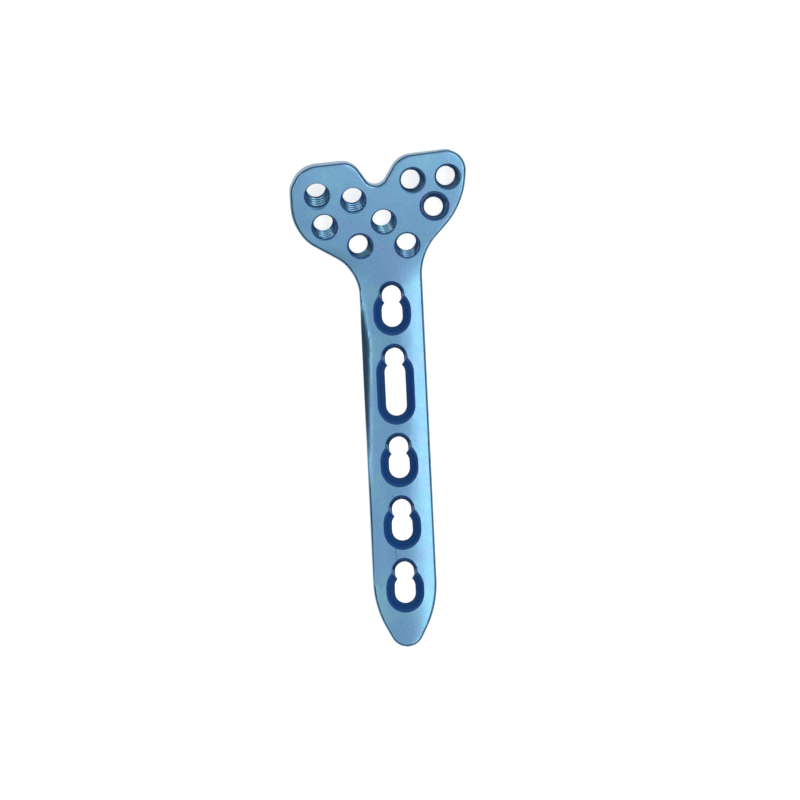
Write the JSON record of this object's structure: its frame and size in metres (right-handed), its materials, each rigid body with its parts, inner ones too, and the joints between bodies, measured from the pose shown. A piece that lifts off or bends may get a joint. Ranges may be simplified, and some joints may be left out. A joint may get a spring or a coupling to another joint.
{
  "type": "orthopaedic bone plate",
  "caption": "Blue anodised locking plate for the palm side of the wrist, with a bent heart-shaped head and a straight bevelled shaft of combination screw holes.",
  "frame": {"origin": "on the shaft's flat underside, below the round end of the first shaft hole", "axes": "+Y along the shaft towards the head, +Z out of the screw-entry side, +X towards the right lobe"},
  "size_m": [0.0269, 0.0751, 0.0063],
  "materials": {
    "anodised_titanium": "satin blasted, blue anodised"
  },
  "bodies": {
    "root": {"bone_plate": "anodised_titanium"}
  },
  "joints": []
}
